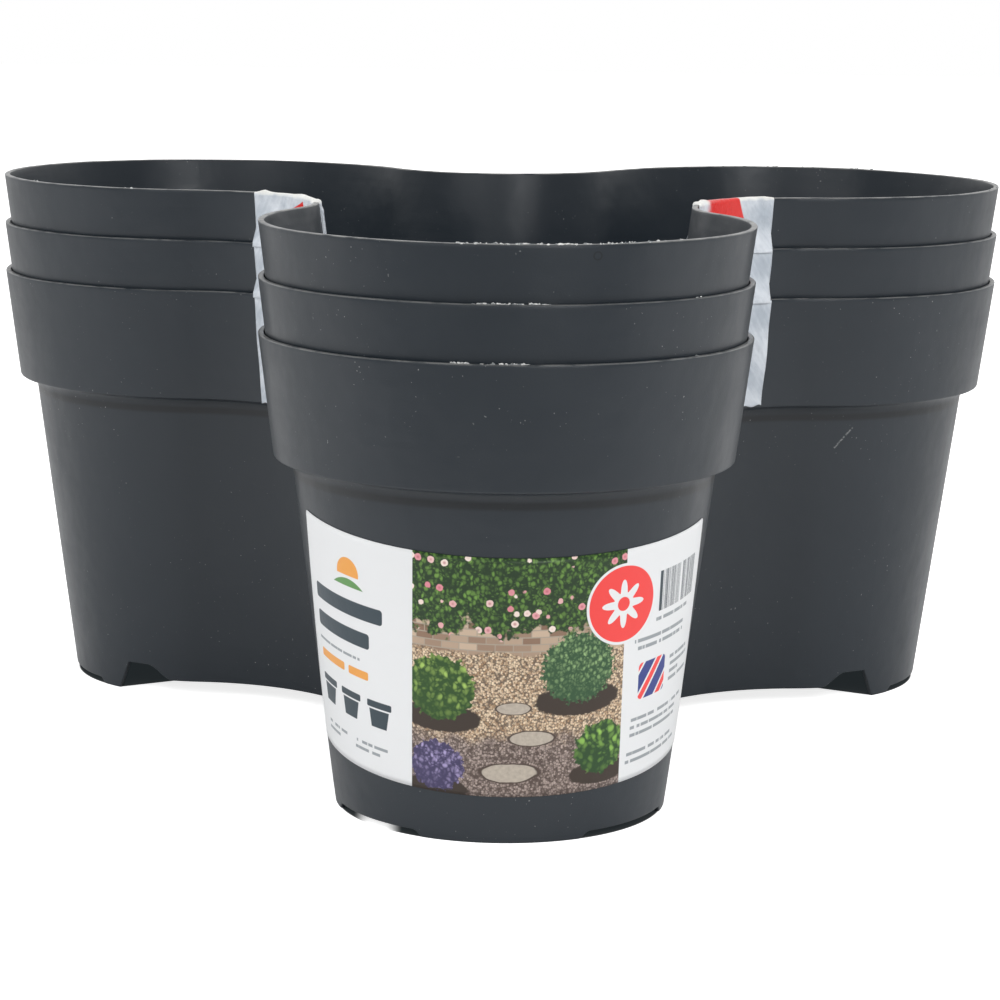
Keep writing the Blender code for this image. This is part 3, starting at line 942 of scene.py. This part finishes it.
# Discs above a line: x, y, radius, y of the line, colour
SUN_AND_HILL = ((-55.5, 65.2, 5.2, 64.4, ORANGE), (-55.5, 52.2, 11.2, 60.8, GREEN))
# Bars: x, y, wide, tall, corner, colour
BARS = (
    (-58.0, 53.8, 35.0, 5.2, 1.1, INK),
    (-60.5, 44.4, 29.0, 5.2, 1.1, INK),
    (-66.2, 32.6, 15.5, 2.8, 0.6, ORANGE),
    (-51.4, 32.6, 9.6, 2.8, 0.6, ORANGE),
)
# The row of drawn pots: their x, and the body and the band of each
DRAWN_POTS = (-69.0, -55.6, -42.2)
BODY_Y = 19.4
BODY_TALL = 6.0
BODY_NARROW = 3.2  # half its width at the height that is given next
BODY_NARROW_Y = 16.5
BODY_FLARE = 0.16
BAND = (24.1, 10.2, 2.3, 0.5)  # y, wide, tall, corner


def left_panel(sheet):
    """A sun over a hill, dark and orange bars in place of words, and a row of pots."""
    graph = sheet.graph
    for x, y, radius, line, colour in SUN_AND_HILL:
        sheet.fill(graph.larger(sheet.disc(x, y, radius), line - sheet.y), colour)
    for *bar, colour in BARS:
        sheet.fill(sheet.box(*bar), colour)
    for x in DRAWN_POTS:
        side = abs(sheet.x - x) - (BODY_NARROW + (sheet.y - BODY_NARROW_Y)*BODY_FLARE)
        sheet.fill(graph.larger(side, abs(sheet.y - BODY_Y) - BODY_TALL/2), INK)
        sheet.fill(sheet.box(x, *BAND), INK)


# A block of upright strokes and a striped patch: x, y, wide, tall, and the patch's corner
STROKES = (66.0, 61.5, 22.0, 13.5)
STROKES_PER_MM = 0.31  # before a noise of this scale and reach makes them uneven
STROKE_UNEVEN = (0.9, 9)
STROKE_RANGE = (0.50, 0.56)
PATCH = (53.6, 32.8, 13.6, 12.4, 1.6)
STRIPE_SLOPE = 0.8
STRIPE_PITCH = 9.4
WHITE_FROM = 0.52  # shares of the pitch
RED_FROM = 0.62
RED_TO = 0.90


def right_panel(sheet):
    """A block of plain upright strokes, and a striped patch under it."""
    graph = sheet.graph
    scale, reach = STROKE_UNEVEN
    uneven = graph.noise(graph.join(sheet.x, 0.0), scale, 0.0)*reach
    strokes = graph.ramp(graph.math("FRACT", uneven + sheet.x*STROKES_PER_MM), *STROKE_RANGE)
    sheet.lay(sheet.inside(sheet.box(*STROKES))*strokes, INK)
    stripe = graph.math("FRACT", (sheet.x - sheet.y*STRIPE_SLOPE)/STRIPE_PITCH)
    colours = graph.mix(stripe > WHITE_FROM, BLUE, WHITE)
    colours = graph.mix((stripe > RED_FROM)*(stripe < RED_TO), colours, RED)
    sheet.fill(sheet.box(*PATCH), colours)


BADGE_X = 39.3
BADGE_Y = 60.7
BADGE_RADIUS = 13.4
BADGE_RING = 0.9
PETALS = 8
DAISY_RADIUS = 5.9  # the middle between a petal's tip and the gap beside it
DAISY_DEPTH = 2.1
DAISY_HEART = 2.3


def badge(sheet):
    """A red disc with a thin white ring and a plain daisy."""
    graph = sheet.graph
    sheet.fill(sheet.disc(BADGE_X, BADGE_Y, BADGE_RADIUS), WHITE)
    sheet.fill(sheet.disc(BADGE_X, BADGE_Y, BADGE_RADIUS - BADGE_RING), RED)
    x = sheet.x - BADGE_X
    y = sheet.y - BADGE_Y
    around = graph.math("COSINE", graph.math("ARCTAN2", y, x)*PETALS)
    sheet.fill(graph.length(x, y) - DAISY_RADIUS - around*DAISY_DEPTH, WHITE)
    sheet.fill(sheet.disc(BADGE_X, BADGE_Y, DAISY_HEART), RED)


# Packing film

TAPE_WIDTH = 0.048
RIGHT_TAPE_SHIFT = 0.008
TAPE_INNER_LEG = 0.012
TAPE_BRIDGE = 0.0050
TAPE_END_MARGIN = 0.0004
FILM_THICKNESS = 0.00012
FILM_LIFT = 0.00025
FILM_COLUMNS = 96
FILM_STEP = 0.0006
SKIN_GAP = 0.0003
SHINGLE = 0.0013  # how far a stretch hangs down over the next rim
SHINGLE_STAND = 0.0003
EDGE_SETTLE = 0.0030  # from a side edge to where the film stands off in full
EDGE_LIFT = 0.3  # share of the film's lift that is left at a side edge
EDGE_WANDER = 0.0008  # how far a side edge strays, by a noise that fades out inwards
WANDER_POWER = 9
WANDER_ACROSS = 3
WANDER_UP = 55
END_RAG = 0.0014  # how far the torn lower end strays, within its reach
RAG_REACH = 0.008
RAG_SCALE = 260
RIM_SETTLE = 0.004  # below a lower rim, to where the creases stand off in full
CREASE_ACROSS = 60  # scales of the creases' noise, then their slant, sharpness and height
CREASE_UP = 45
CREASE_SLANT = 60
CREASE_SHARP = 2.6
CREASE_HEIGHT = 0.0006
BUBBLE_SCALE = 3.1  # how many times finer than the creases
BUBBLE_HEIGHT = 0.00014
ROLL_WIDTH = 0.0026  # of the roll along the front edge of the inner leg
ROLL_START = 0.003  # below the rim, to where it rolls in full
# Each side's valley, the way its lengths run round the pot from the front to the rear, its shift, and how
# far the front edge of its inner leg rolls off the wall
FILM_SIDES = {"left": (2, -1, 0.0, 0.0010), "right": (0, 1, RIGHT_TAPE_SHIFT, 0.0)}
FILM_SEED = {"left": 10, "right": 0}


def rim_column(valley, length):
    """The column that lies a length along the rim, anticlockwise, from the middle of a valley."""
    half = VALLEY_RADIUS*VALLEY_HALF_ARC
    if abs(length) <= half:
        return valley_column(valley, length/VALLEY_RADIUS)
    way = 1 if length > 0 else -1
    lobe = valley + (1 if way > 0 else 0)
    return lobe_column(lobe, -way*(LOBE_HALF_ARC - (abs(length) - half)/RIM_RADIUS))


def film_line(tier):
    """(inset, z) along one stretch of film, from inside the pot over the rim and down over the next."""
    corner = POT_HEIGHT - RIM_ROUND
    if TIERS[tier] == "bottom":
        low = BAND_BOTTOM + TAPE_END_MARGIN
        return [(band_inset(corner), corner), (band_inset(low), low)]
    below = POT_HEIGHT - NEST_PITCH
    leaves = below + SKIN_GAP + TAPE_BRIDGE
    line = [(band_inset(corner), corner), (band_inset(leaves), leaves),
            (-SHINGLE_STAND, below + SKIN_GAP), (-SHINGLE_STAND, below - SHINGLE)]
    if TIERS[tier] == "top":
        leg_end = POT_HEIGHT - TAPE_INNER_LEG
        fold = quarter(WALL - RIM_ROUND, corner, RIM_ROUND, (0, 90), EDGE_STEPS)
        fold += quarter(RIM_ROUND, corner, RIM_ROUND, (90, 180), EDGE_STEPS)
        line = [(band_inset(leg_end) + WALL, leg_end)] + fold + line[1:]
    return line


def spaced(line):
    """Points at even steps along a section line."""
    dense = []
    for start, end in zip(line, line[1:]):
        count = max(1, round(math.dist(start, end)/FILM_STEP))
        for step in range(count):
            share = step/count
            dense.append((start[0] + (end[0] - start[0])*share, start[1] + (end[1] - start[1])*share))
    dense.append(line[-1])
    return dense


def crinkle(length, z, seed):
    """How far the film stands off what it is stuck on: slanted creases and small bubbles."""
    spot = Vector((length*CREASE_ACROSS, z*CREASE_UP, seed))
    crease = 1 - abs(noise.noise(spot + Vector((z*CREASE_SLANT, 0, 0))))*CREASE_SHARP
    bubble = noise.noise(spot*BUBBLE_SCALE) + 1
    return CREASE_HEIGHT*max(0, crease)**3 + BUBBLE_HEIGHT*bubble


def film_stand(share, length, inset, z, tier, seed, roll):
    """How far one point of the film stands off. Share is -1 at the front edge and 1 at the rear edge."""
    edge = min(1, (1 - abs(share))*TAPE_WIDTH/2/EDGE_SETTLE)
    start = 1 if TIERS[tier] == "top" else min(1, max(0, POT_HEIGHT - z)/RIM_SETTLE)
    stand = FILM_LIFT*(EDGE_LIFT + (1 - EDGE_LIFT)*edge)
    stand += crinkle(length, z + tier*NEST_PITCH, seed)*edge*start
    if inset - band_inset(z) > WALL/2:
        along = min(1, (1 + share)*TAPE_WIDTH/2/ROLL_WIDTH)
        stand += roll*math.sin(math.pi*along)*min(1, (POT_HEIGHT - z)/ROLL_START)
    return stand


def film_mesh(name, side, tier, seed):
    valley, way, shift, roll = FILM_SIDES[side]
    line = spaced(film_line(tier))
    lowest = line[-1][1]
    mesh = bmesh.new()
    layer = mesh.loops.layers.uv.new("film")
    flat = {}
    grid = []
    for step in range(FILM_COLUMNS + 1):
        share = 2*step/FILM_COLUMNS - 1
        verts = []
        for number, (inset, z) in enumerate(line):
            height = z + tier*NEST_PITCH
            stray = noise.noise(Vector((share*WANDER_ACROSS, height*WANDER_UP, seed)))
            length = shift + TAPE_WIDTH/2*share + EDGE_WANDER*abs(share)**WANDER_POWER*stray
            if TIERS[tier] == "bottom":
                near_end = max(0, 1 - (z - lowest)/RAG_REACH)
                drop = END_RAG*near_end**2*noise.noise(Vector((length*RAG_SCALE, seed, 0.5)))
                z -= drop
                inset += drop*TAPER
            before = line[max(0, number - 1)]
            after = line[min(len(line) - 1, number + 1)]
            down = Vector((after[0] - before[0], after[1] - before[1])).normalized()
            out = Vector((down.y, -down.x))*film_stand(share, length, inset, z, tier, seed, roll)
            vert = mesh.verts.new(point(rim_column(valley, way*length), inset + out.x, z + out.y))
            flat[vert] = (length/MM, height/MM)
            verts.append(vert)
        grid.append(verts)
    add_sheet_faces(mesh, layer, list(zip(*grid)), flat)
    return finished(mesh, name)


FILM_DARK = (0.43, 0.48, 0.54)
FILM_LIGHT = (0.71, 0.75, 0.80)
# Painted highlight along the film's fold over the top rim
FILM_FOLD_HIGHLIGHT = (0.86, 0.85, 0.80)
FILM_RED = (0.70, 0.018, 0.014)
RIM_TOP = (POT_HEIGHT + 2*NEST_PITCH)/MM
FILM_CLOUD = (90, 4)
CREASE_LONG = 0.07  # scales of the diagonal lighter and darker streaks in the film's colour, along and across them, per millimetre
CREASE_WIDE = 0.55
CREASE_NOISE = (1, 3)
CREASE_SLOPE = 0.7
CREASE_SHARE = 0.4
FILM_RANGE = (0.45, 0.95)
FOLD_NOISE = (300, 2)
FOLD_RAGGED = 0.9
FOLD_RANGE = (-0.4, 0.5)  # from the top rim's height, in millimetres
FOLD_HIGHLIGHT_SHARE = 0.85
FILM_ROUGHNESS = 0.32
FILM_BUMPS = (500, 3)
FILM_BUMP_DEPTH = 0.0003
# Red print by side: the shares of the place along the rim and of the height in its slanted edge, that edge,
# its lower edge, and where it fades in along the rim. Millimetres, from the film's zero and the top rim.
RED_PRINT = {
    "left": (0.36, 1, (-2.9, -3.3), (-4.3, -3.9), (-5.4, -5)),
    "right": (1, 0.47, (16.6, 16.0), (-8.3, -7.7), (-7, -1)),
}


def red_print(graph, side, arc, above):
    """A red patch at the fold. On the left its corner shows, and on the right it fades out to the front."""
    arc_share, height_share, edge, foot, fade = RED_PRINT[side]
    slanted = graph.ramp(arc*arc_share + above*height_share, *edge)
    return slanted*graph.ramp(above, *foot)*graph.ramp(arc, *fade)


def film_material(side):
    """Crumpled pale film with a painted highlight along the fold, and a patch of red print."""
    graph = Graph(bpy.data.materials.new(f"packing_film_{side}"))
    place = graph.place()
    arc, height, _ = graph.split(graph.place("UV"))
    above = height - RIM_TOP
    across = (arc + height*CREASE_SLOPE)*CREASE_WIDE
    along = (height - arc*CREASE_SLOPE)*CREASE_LONG
    crease = graph.noise(graph.join(across, along), *CREASE_NOISE)
    tone = graph.ramp(graph.noise(place, *FILM_CLOUD) + crease*CREASE_SHARE, *FILM_RANGE)
    # Painted highlight: the film is whitened along its fold over the top rim.
    fold = graph.ramp(above + graph.noise(place, *FOLD_NOISE)*FOLD_RAGGED, *FOLD_RANGE)
    colour = graph.mix(fold*FOLD_HIGHLIGHT_SHARE, graph.mix(tone, FILM_DARK, FILM_LIGHT), FILM_FOLD_HIGHLIGHT)
    graph.set("Base Color", graph.mix(red_print(graph, side, arc, above), colour, FILM_RED))
    graph.set("Roughness", FILM_ROUGHNESS)
    graph.set("Normal", graph.bump(graph.noise(place, *FILM_BUMPS), FILM_BUMP_DEPTH))
    return graph.owner


def add_films():
    for side in FILM_SIDES:
        material = film_material(side)
        for tier, body in enumerate(TIERS):
            name = f"{side}_film_{body}"
            data = film_mesh(name, side, tier, tier + FILM_SEED[side])
            film = add_piece(name, data, material, FILM_SMOOTH_ANGLE)
            thicken(film, FILM_THICKNESS)
            film.location.z = tier*NEST_PITCH
            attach(film, body)
            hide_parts(f"{side}_tape_{body}")


# Moulding flash: the lobe, the first and last angle from its tip in degrees, and the number of flakes

FLASH = {
    "bottom": ((0, -13, 4.5, 34), (0, 46.5, 48.5, 3), (1, -40, -10, 5)),
    "middle": ((0, -9, 9.5, 34), (0, 46.5, 48.5, 3), (2, 20, 60, 5)),
    "top": ((0, -12, 32, 80), (0, 34, 44, 4), (1, 20, 80, 14), (1, -62, -40, 6), (2, 60, 130, 7)),
}
FLAKE_LONG = (0.00035, 0.00120)
FLAKE_ACROSS = (0.00015, 0.00040)
FLAKE_UP = (0.00018, 0.00070)
FLAKE_INSET = {"bottom": (0.0009, 0.0019), "middle": (0.0009, 0.0019), "top": (0.0002, 0.0014)}
FLAKE_LEAST = 0.5  # how near to a flake's middle a corner of it may lie, as a share
FLASH_SEED = 4
FLASH_DARK = (0.20, 0.22, 0.23)
FLASH_LIGHT = (0.80, 0.80, 0.78)
FLASH_CLOUD = (700, 2, 0.35, 0.65)
FLASH_ROUGHNESS = 0.30


def flash_mesh(name, tier):
    """Torn scraps of plastic that stay on a rim where the mould closes."""
    chance = random.Random(tier + FLASH_SEED)
    mesh = bmesh.new()
    for lobe, start, end, count in FLASH[TIERS[tier]]:
        for _ in range(count):
            local = math.radians(chance.uniform(start, end))
            inset = chance.uniform(*FLAKE_INSET[TIERS[tier]])
            column = lobe_column(lobe, local)
            middle = point(column, inset, POT_HEIGHT)
            middle.z += rim_wave(middle, tier)
            across = Vector((*polar(chance.uniform(*FLAKE_ACROSS), column.angle), 0))
            along = Vector((*polar(chance.uniform(*FLAKE_LONG), column.angle + math.pi/2), 0))
            up = chance.uniform(*FLAKE_UP)
            for vert in bmesh.ops.create_icosphere(mesh, subdivisions=1, radius=1)["verts"]:
                side = vert.co*chance.uniform(FLAKE_LEAST, 1.0)
                vert.co = middle + along*side.x + across*side.y + Vector((0, 0, up*side.z))
    return finished(mesh, name)


def flash_material():
    graph = Graph(bpy.data.materials.new("moulding_flash"))
    tone = graph.cloud(graph.place(), *FLASH_CLOUD)
    graph.set("Base Color", graph.mix(tone, FLASH_DARK, FLASH_LIGHT))
    graph.set("Roughness", FLASH_ROUGHNESS)
    return graph.owner


def add_flash():
    material = flash_material()
    for tier, body in enumerate(TIERS):
        name = f"{body}_rim_flash"
        flash = add_piece(name, flash_mesh(name, tier), material)
        flash.location.z = tier*NEST_PITCH
        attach(flash, body)


# Studio

LENS = 109.88
CAMERA_PLACE = (-0.01202, -1.07312, 0.27656)
CAMERA_TURN = math.radians(-0.6304)
CAMERA_DOWN = math.radians(10.229)
CAMERA_ROLL = math.radians(0.796)


def add_camera():
    data = bpy.data.cameras.new("camera")
    data.lens = LENS
    camera = add_object("camera", data)
    turn = Matrix.Rotation(CAMERA_TURN, 4, "Z")
    tilt = Matrix.Rotation(math.pi/2 - CAMERA_DOWN, 4, "X")
    roll = Matrix.Rotation(CAMERA_ROLL, 4, "Z")
    camera.matrix_world = Matrix.Translation(CAMERA_PLACE) @ turn @ tilt @ roll
    bpy.context.scene.camera = camera


def add_panel(name, place, wide, tall, power, mirrored):
    """A soft light panel that faces the pots. It either lights the scene or only shows in gloss."""
    data = bpy.data.lights.new(name, "AREA")
    data.shape = "RECTANGLE"
    data.size = wide
    data.size_y = tall
    data.energy = power
    panel = add_object(name, data)
    panel.location = place
    panel.visible_glossy = mirrored
    panel.visible_diffuse = not mirrored
    facing = Vector(PANEL_TARGET) - Vector(place)
    panel.rotation_euler = facing.to_track_quat("-Z", "Y").to_euler()


FLOOR_NEAR = (0.92, 0.92, 0.92)
FLOOR_FRONT = (0.28, 0.28, 0.28)
# Painted shadow: the floor's colour under the lowest pot's lobes, as far as their notches
FLOOR_PAINTED_SHADOW = (0.04, 0.04, 0.04)
FRONT_FADE = (-0.26, -0.54)  # y between which the floor before the pots gets darker
FLOOR_SIZE = 6
FLOOR_ROUGHNESS = 0.9
OPEN_GLOW = (0.80, 0.80, 0.80)  # what the camera sees above the floor's own light
# Painted glow that the camera sees in that painted shadow, as a little light under the pot
UNDER_PAINTED_GLOW = (0.016, 0.020, 0.022)
FOOT_SHADE = 0.0008  # from a foot's outline inwards, where the floor's lift fades out into the painted shadow
NOTCH_LINE = math.radians(58.5)  # from a lobe's axis, the edge of the painted shadow on the ground behind its notches
LIT_PLACE = -0.0395  # from the front lobe's axis, where light comes in under the skirt and the painted shadow is left out
LIT_REACH = 0.0020
LIT_EASE = 0.13
LIT_FRONT = -0.09  # only before this y


def foot_distance(graph, x, y):
    """Distance to the painted shadow on the ground under the lowest pot's lobes, as far as their notches.

    A lit place under the front lobe is left out of the painted shadow.
    """
    inset = wall_inset(0)
    foot = RIM_RADIUS - inset
    pad_end = rim_crossing(RIM_RADIUS) - (NOTCH_OUTER_PLAY + NOTCH_SIDE)/foot
    corner_along, corner_across = polar(foot, pad_end)
    line_along, line_across = polar(1, NOTCH_LINE)
    grounds = []
    for number in range(LOBES):
        lobe = lobe_column(number, 0)
        tip_x, tip_y = polar(1, FRONT + number*PITCH_ANGLE)
        along = (x - lobe.x)*tip_x + (y - lobe.y)*tip_y
        across = abs((y - lobe.y)*tip_x - (x - lobe.x)*tip_y)
        behind = (across - corner_across)*line_along - (along - corner_along)*line_across
        reach = graph.length(x - lobe.x, y - lobe.y) - foot
        grounds.append(graph.larger(reach, behind))
    lit = (LIT_REACH - abs(x - LIT_PLACE))*LIT_EASE
    return graph.larger(graph.smaller(*grounds), graph.smaller(lit, LIT_FRONT - y))


def add_floor_plane():
    """A wide white floor. Seen by the camera it is lifted to white round the pot, and keeps the shadow.
    Under the pot's lobes its colour is a painted shadow with a faint painted glow.
    """
    mesh = bmesh.new()
    bmesh.ops.create_grid(mesh, x_segments=1, y_segments=1, size=FLOOR_SIZE)
    data = finished(mesh, "floor")
    graph = Graph(bpy.data.materials.new("floor"))
    x, y, _ = graph.split(graph.place())
    # Painted shadow under the pot: where this share is 0 the floor takes the dark colour and the faint glow.
    outside_painted_shadow = graph.ramp(foot_distance(graph, x, y), -FOOT_SHADE, 0)
    pale = graph.blend(y, *FRONT_FADE, FLOOR_NEAR, FLOOR_FRONT)
    graph.set("Base Color", graph.mix(outside_painted_shadow, FLOOR_PAINTED_SHADOW, pale))
    graph.set("Roughness", FLOOR_ROUGHNESS)
    graph.set("Specular IOR Level", 0.0)
    graph.set("Emission Color", graph.mix(outside_painted_shadow, UNDER_PAINTED_GLOW, OPEN_GLOW))
    graph.set("Emission Strength", graph.ray("Is Camera Ray"))
    data.materials.append(graph.owner)
    floor = add_object("floor", data)


WORLD_FRONT = 0.28
WORLD_BACK = 1.0
WORLD_RANGE = (-0.45, 0.40)  # between the front's y and the back's, on a sphere of radius 1


def add_world():
    """White to the camera, and light from behind and the sides, darker from the front."""
    world = bpy.data.worlds.new("studio")
    bpy.context.scene.world = world
    graph = Graph(world)
    _, y, _ = graph.split(graph.place("Generated"))
    light = graph.ramp(y, *WORLD_RANGE)*(WORLD_BACK - WORLD_FRONT) + WORLD_FRONT
    graph.set("Color", (1, 1, 1))
    graph.set("Strength", graph.larger(light, graph.ray("Is Camera Ray")))


# Light panels: name, place, wide, tall, power in watts, and whether it only shows in gloss
PANELS = (
    ("left_panel", (-1.3, -0.3, 0.5), 0.5, 1.4, 6, False),
    ("right_panel", (1.3, -0.3, 0.5), 0.5, 1.4, 6, False),
    ("front_panel", (0.1, -1.6, 1.2), 1.4, 0.9, 19.5, False),
    ("left_glint", (-0.80, -1.6, 0.33), 1.3, 0.3, 3.0, True),
    ("right_glint", (0.60, -1.6, 0.33), 0.5, 0.3, 4.5, True),
)
PANEL_TARGET = (0, 0, 0.1)


def main():
    bpy.context.scene.view_settings.view_transform = "Standard"
    add_pots()
    add_flash()
    add_label()
    add_films()
    add_camera()
    add_floor_plane()
    add_world()
    for panel in PANELS:
        add_panel(*panel)


main()
